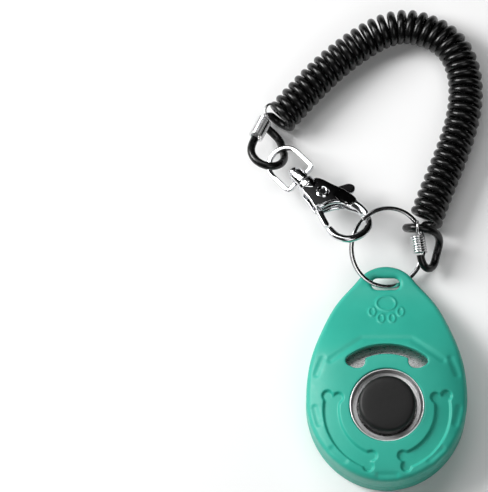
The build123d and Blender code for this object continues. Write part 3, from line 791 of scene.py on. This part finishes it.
BUTTON_HOLE_RADIUS = 10.8
SLOT_MIDDLE, SLOT_HALF, SLOT_SPREAD = 16.8, 1.6, radians(38)
SLOT_LOBE, LOBE_FLATNESS, SLOT_SEARCH_SPREAD = (8.6, 12.9, 2.4), 0.8, radians(44)
KEY_HOLE_Y, KEY_HOLE_LENGTH, KEY_HOLE_WIDTH = 38.3, 8.3, 3.6
BONE_CENTRE_Y, BONE_RADIUS, BONE_HALF, BONE_KNOB = -1.2, 16.1, 2.3, 1.55
BONE_START, BONE_END, BONE_KNOB_TURN = radians(173.5), radians(244.5), radians(7.5)
BONE_KNOB_SPREAD, BONE_BLEND = 1.6, 1.6
ROOF_POINTS = [(0, 20), (7, 20), (16.2, 13.6)]
DIMPLE_ANGLES, DIMPLE_PATH_RADII = (-90, -48, -132, -14, -166, 22, 158), (20.9, 23.6)
DIMPLE_REACH, DIMPLE_RADIUS = 2.4, 0.65
MARK_PAD, MARK_PAD_RADII, MARK_TOE_RADII = (0, 32.0), (2.8, 2.3), (0.9, 1.4)
MARK_TOES = [(-4.1, 29.2), (4.1, 29.2), (-1.6, 27.0), (1.6, 27.0)]

# Change of height, and the distances from the shape's edge where it starts and is complete.
BONE_RELIEF, ROOF_RELIEF = (-0.9, 0.3, -0.5), (-0.34, 1.6, 0.0)
DIMPLE_RELIEF, MARK_RELIEF = (-0.33, 0.9, -0.6), (0.28, 0.45, 0.08)

# Radii of the rounded edges, and the spacings of the skin's points.
EDGE, HOLE_EDGE, SLOT_EDGE, KEY_EDGE, EDGE_TURNS = 1.3, 0.45, 0.45, 1.1, (18, 36, 54, 72, 90)
OUTLINE_SPACING, SLOT_SPACING, KEY_SPACING, FINE_GRID, COARSE_GRID = 0.42, 0.3, 0.28, 0.26, 0.55


def spline_through(points, first, last, steps):
    """Clamped cubic spline with the given end directions, at even steps of its parameter."""
    points = np.array(points, float)
    spans = np.linalg.norm(np.diff(points, axis=0), axis=1)
    count = len(points)
    matrix, right = np.zeros((count, count)), np.zeros((count, 2))
    matrix[0, 0] = matrix[-1, -1] = 1
    right[0], right[-1] = first, last
    for k in range(1, count - 1):
        a, b = spans[k - 1], spans[k]
        matrix[k, k - 1:k + 2] = b, 2 * (a + b), a
        right[k] = 3 * (b * (points[k] - points[k - 1]) / a + a * (points[k + 1] - points[k]) / b)
    slopes = np.linalg.solve(matrix, right)
    out = []
    for k, span in enumerate(spans):
        for t in np.linspace(0, 1, steps, endpoint=False):
            a, b = 2 * t**3 - 3 * t**2 + 1, t**3 - 2 * t**2 + t
            out.append(
                a * points[k] + b * span * slopes[k] + (1 - a) * points[k + 1]
                + (t**3 - t**2) * span * slopes[k + 1]
            )
    out.append(points[-1])
    return np.array(out)


def even(loop, spacing):
    """A closed loop of points at even spacing."""
    ring = np.vstack([loop, loop[:1]])
    reach = np.concatenate([[0], np.cumsum(np.linalg.norm(np.diff(ring, axis=0), axis=1))])
    at = np.linspace(0, reach[-1], round(reach[-1] / spacing), endpoint=False)
    return np.column_stack([np.interp(at, reach, ring[:, k]) for k in (0, 1)])


def teardrop():
    """The body's outline, counter-clockwise."""
    tip_centre = TIP_Y - TIP_RADIUS
    tip = (TIP_RADIUS * cos(TIP_ANGLE), tip_centre + TIP_RADIUS * sin(TIP_ANGLE))
    right = spline_through([*FLANK, tip], (0, 1), (-sin(TIP_ANGLE), cos(TIP_ANGLE)), 40)
    angles = np.linspace(TIP_ANGLE, pi - TIP_ANGLE, 80)[1:-1]
    cap = np.column_stack([TIP_RADIUS * np.cos(angles), tip_centre + TIP_RADIUS * np.sin(angles)])
    left = right[::-1] * (-1, 1)
    low = np.linspace(pi, 2 * pi, 160)[1:-1]
    bottom = np.column_stack([HALF_WIDTH * np.cos(low), WIDEST_Y + LOWER_RADIUS_Y * np.sin(low)])
    return even(np.vstack([right, cap, left, bottom]), OUTLINE_SPACING)


def stadium(y, length, width, spacing):
    """Outline of a long hole with round ends, lying along x."""
    half, radius = (length - width) / 2, width / 2
    right = np.linspace(-pi / 2, pi / 2, 40)
    ends = [np.column_stack([half + radius * np.cos(right), y + radius * np.sin(right)])]
    ends.append(np.column_stack([-half - radius * np.cos(right), y - radius * np.sin(right)]))
    return even(np.vstack(ends), spacing)


def arc_distance(p, radius, start, stop):
    """Distance to an arc about the button's axis, with angles in radians."""
    angle = np.arctan2(p[:, 1], p[:, 0])
    middle = (start + stop) / 2
    turn = (angle - middle + pi) % (2 * pi) - pi
    turn = np.clip(turn, (start - stop) / 2, (stop - start) / 2) + middle
    return np.hypot(p[:, 0] - radius * np.cos(turn), p[:, 1] - radius * np.sin(turn))


def line_distance(p, a, b):
    a, b = np.array(a, float), np.array(b, float)
    t = np.clip(((p - a) @ (b - a)) / ((b - a) @ (b - a)), 0, 1)
    return np.linalg.norm(p - a - t[:, None] * (b - a), axis=1)


def ellipse_distance(p, centre, radii):
    q, r = p - np.array(centre, float), np.array(radii, float)
    f = np.linalg.norm(q / r, axis=1)
    return (f - 1) * f / np.maximum(np.linalg.norm(q / r**2, axis=1), 1e-6)


def slot_distance(p):
    """Distance to the crescent slot with its two lobes, negative inside."""
    x, y, radius = SLOT_LOBE
    half = LOBE_FLATNESS * radius
    out = arc_distance(p, SLOT_MIDDLE, pi / 2 - SLOT_SPREAD, pi / 2 + SLOT_SPREAD) - SLOT_HALF
    for side in (1, -1):
        start, stop = (side * x - (radius - half), y), (side * x + (radius - half), y)
        out = np.minimum(out, line_distance(p, start, stop) - half)
    return out


def slot_outline():
    """The slot's outline, found along rays from the button's axis."""
    reach, spread = np.arange(10, 20, 0.02), SLOT_SEARCH_SPREAD
    outer, inner = [], []
    for angle in np.linspace(pi / 2 - spread, pi / 2 + spread, 400):
        ray = np.column_stack([reach * np.cos(angle), reach * np.sin(angle)])
        within = reach[slot_distance(ray) < 0]
        if len(within):
            outer.append((within[-1] * np.cos(angle), within[-1] * np.sin(angle)))
            inner.append((within[0] * np.cos(angle), within[0] * np.sin(angle)))
    loop = even(np.array(outer + inner[::-1]), SLOT_SPACING)
    for _ in range(3):
        loop = (np.roll(loop, 1, axis=0) + 2 * loop + np.roll(loop, -1, axis=0)) / 4
    return loop


def bone_distance(p):
    """Distance to the two bones, negative inside: a curved bar blended into two knobs at each end."""
    q = np.column_stack([-np.abs(p[:, 0]), p[:, 1] - BONE_CENTRE_Y])
    out = arc_distance(q, BONE_RADIUS, BONE_START, BONE_END) - BONE_HALF
    for angle in (BONE_START - BONE_KNOB_TURN, BONE_END + BONE_KNOB_TURN):
        for radius in (BONE_RADIUS - BONE_KNOB_SPREAD, BONE_RADIUS + BONE_KNOB_SPREAD):
            centre = (radius * cos(angle), radius * sin(angle))
            knob = np.linalg.norm(q - centre, axis=1) - BONE_KNOB
            blend = np.clip(0.5 + (out - knob) / BONE_BLEND, 0, 1)
            out = out + (knob - out) * blend - BONE_BLEND / 2 * blend * (1 - blend)
    return out


def roof_distance(p):
    """Distance to the line over the slot, flat in the middle and falling at both ends."""
    q = np.column_stack([np.abs(p[:, 0]), p[:, 1]])
    middle, corner, end = ROOF_POINTS
    return np.minimum(line_distance(q, middle, corner), line_distance(q, corner, end))


def dimple_distance(p):
    """Distance to the short dimples along the body's edge, negative inside."""
    out = np.full(len(p), 99.0)
    for angle in [radians(a) for a in DIMPLE_ANGLES]:
        across, down = DIMPLE_PATH_RADII
        centre = np.array([across * cos(angle), WIDEST_Y + down * sin(angle)])
        along = np.array([-sin(angle), cos(angle)]) * DIMPLE_REACH
        out = np.minimum(out, line_distance(p, centre - along, centre + along) - DIMPLE_RADIUS)
    return out


def mark_distance(p):
    """Distance to the middle of the raised mark's line: a round pad and four toes."""
    out = np.abs(ellipse_distance(p, MARK_PAD, MARK_PAD_RADII))
    for toe in MARK_TOES:
        out = np.minimum(out, np.abs(ellipse_distance(p, toe, MARK_TOE_RADII)))
    return out


def smoothstep(low, high, value):
    t = np.clip((value - low) / (high - low), 0, 1)
    return t * t * (3 - 2 * t)


def front_height(p):
    """Height of the front without its recesses and edges."""
    x, y = p[:, 0], p[:, 1]
    ramp = smoothstep(RAMP_START_Y, RAMP_END_Y, y)
    side, lower = (x / HALF_WIDTH) ** 2, np.maximum(LOWER_START_Y - y, 0) / LOWER_REACH
    centre = FRONT_TOP_Z - (FRONT_TOP_Z - FRONT_TIP_Z) * ramp - LOWER_DROP * lower**3
    return centre - (side + SIDE_DROP * side * side) * (1 - SIDE_FLATTENING * ramp)


def raised(distance, height, start, complete):
    return height * smoothstep(start, complete, distance)


def relief(p):
    """Recesses and the raised mark, as a change of height."""
    out = raised(bone_distance(p), *BONE_RELIEF)
    out += raised(roof_distance(p), *ROOF_RELIEF)
    out += raised(dimple_distance(p), *DIMPLE_RELIEF)
    return out + raised(mark_distance(p), *MARK_RELIEF)


def loop_distance(p, loop):
    """Distance from points to a closed loop."""
    a, b = loop, np.roll(loop, -1, axis=0)
    d, out = b - a, []
    for part in np.array_split(p, max(1, len(p) // 4000)):
        q = part[:, None, :] - a[None]
        t = np.clip((q * d).sum(axis=2) / (d * d).sum(axis=1), 0, 1)
        out.append(np.sqrt(((q - t[..., None] * d) ** 2).sum(axis=2).min(axis=1)))
    return np.concatenate(out)


def inside(p, loop):
    """True for points within a closed loop."""
    a, b, out = loop, np.roll(loop, -1, axis=0), []
    for part in np.array_split(p, max(1, len(p) // 4000)):
        x, y = part[:, :1], part[:, 1:]
        crosses = (a[:, 1] > y) != (b[:, 1] > y)
        rise = np.where(b[:, 1] == a[:, 1], 1, b[:, 1] - a[:, 1])
        at = a[:, 0] + (y - a[:, 1]) * (b[:, 0] - a[:, 0]) / rise
        out.append((crosses & (x < at)).sum(axis=1) % 2 == 1)
    return np.concatenate(out)


def shifted(loop, distance):
    """The loop moved to its left side by a distance."""
    along = np.roll(loop, -1, axis=0) - np.roll(loop, 1, axis=0)
    along /= np.linalg.norm(along, axis=1)[:, None]
    return loop + distance * np.column_stack([-along[:, 1], along[:, 0]])


def grid_points(spacing):
    """Points of a triangular grid over the body's box."""
    xs, ys = np.arange(-24, 24.01, spacing), np.arange(-25, 45, spacing * 0.866)
    rows = [
        np.column_stack([xs + (spacing / 2) * (j % 2), np.full(len(xs), y)])
        for j, y in enumerate(ys)
    ]
    return np.vstack(rows)


def loop_area(a):
    """A loop's area, negative when it runs clockwise."""
    b = np.roll(a, -1, axis=0)
    return 0.5 * np.sum(a[:, 0] * b[:, 1] - a[:, 1] * b[:, 0])


def shell_loops():
    """The outline and the holes, each with its edge radius and the side that the shell lies on."""
    turn = np.linspace(0, 2 * pi, 220, endpoint=False)
    button_hole = BUTTON_HOLE_RADIUS * np.column_stack([np.cos(turn), np.sin(turn)])
    key_hole = stadium(KEY_HOLE_Y, KEY_HOLE_LENGTH, KEY_HOLE_WIDTH, KEY_SPACING)
    loops = [
        (teardrop(), EDGE, 1), (button_hole, HOLE_EDGE, -1),
        (slot_outline(), SLOT_EDGE, -1), (key_hole, KEY_EDGE, -1),
    ]
    return [(loop if loop_area(loop) > 0 else loop[::-1], edge, side) for loop, edge, side in loops]


def edge_rings(loops):
    """Rings of points down each rounded edge, left out where another loop is near."""
    out = []
    for loop, edge, side in loops:
        for turn in EDGE_TURNS:
            ring = shifted(loop, side * edge * (1 - cos(radians(turn))))
            others = [other for other, _, _ in loops if other is not loop]
            room = np.min([loop_distance(ring, other) for other in others], axis=0)
            out.append(ring[room > edge + 0.5])
    return out


def near_relief(p):
    """Negative near the edges of the bones, roof line and dimples, and on the mark."""
    return np.minimum.reduce([
        np.abs(bone_distance(p) + 0.1) - 0.7, np.abs(roof_distance(p) - 0.7) - 0.8,
        np.abs(dimple_distance(p)) - 0.8, mark_distance(p) - 0.6,
    ])


def lattice_points(loops):
    """Points between the loops, on a fine grid near the relief's edges and a coarse one elsewhere."""
    fine, coarse = grid_points(FINE_GRID), grid_points(COARSE_GRID)
    lattice = np.vstack([fine[near_relief(fine) < 0], coarse[near_relief(coarse) > 0.12]])
    clear = np.ones(len(lattice), bool)
    for loop, edge, side in loops:
        clear &= loop_distance(lattice, loop) > edge + 0.14
        clear &= inside(lattice, loop) == (side > 0)
    return lattice[clear]


def shell_plan(loops):
    """Points and triangles of the shell seen from above, and its loops' edges one after another."""
    rings = [loop for loop, _, _ in loops]
    edges, start = [], 0
    for loop in rings:
        edges += [(start + k, start + (k + 1) % len(loop)) for k in range(len(loop))]
        start += len(loop)
    flat = np.vstack([*rings, *edge_rings(loops), lattice_points(loops)])
    found = delaunay_2d_cdt([Vector(p) for p in flat], edges, [], 0, 1e-5)
    flat, triangles = np.array([tuple(p) for p in found[0]]), np.array(found[2])
    now_at = {old: new for new, olds in enumerate(found[3]) for old in olds}
    middle = flat[triangles].mean(axis=1)
    keep = inside(middle, rings[0])
    for loop in rings[1:]:
        keep &= ~inside(middle, loop)
    return flat, triangles[keep], [(now_at[first], now_at[second]) for first, second in edges]


def front_shell():
    """The front as one closed skin: its outside, the walls of its holes and a plain inside."""
    loops = shell_loops()
    outline = loops[0][0]
    flat, triangles, edges = shell_plan(loops)

    top = front_height(flat) + relief(flat)
    for loop, edge, _ in loops:
        gap = np.clip(edge - loop_distance(flat, loop), 0, edge)
        top -= edge - np.sqrt(edge**2 - gap**2)
    rim = (loop_distance(flat, outline) < RIM_WIDTH) | (flat[:, 1] > SOLID_FROM_Y)
    low = np.where(rim, PARTING_Z, front_height(flat) - WALL)
    low = np.minimum(low, top - THIN_WALL)

    count, rim_count = len(flat), len(outline)
    points = [(*p, z) for p, z in zip(flat, top)] + [(*p, z) for p, z in zip(flat, low)]
    faces = [tuple(t) for t in triangles]
    faces += [tuple(count + k for k in reversed(t)) for t in triangles]
    for (corner, _), moved in zip(edges, shifted(outline, PARTING_GROOVE)):
        points[count + corner] = (*moved, points[count + corner][2])
    points += [(*p, PARTING_Z + PARTING_GROOVE) for p in outline]
    for i, (k, n) in enumerate(edges):
        if i < rim_count:
            lip, next_lip = 2 * count + i, 2 * count + (i + 1) % rim_count
            faces += [(k, lip, next_lip, n), (lip, count + k, count + n, next_lip)]
        else:
            faces.append((k, count + k, count + n, n))
    return points, faces


shell_points, shell_faces = front_shell()
add_mesh(
    "front_cover", shell_points, shell_faces, "clicker", TEAL, ("front_shell",),
    sharp=50,
)
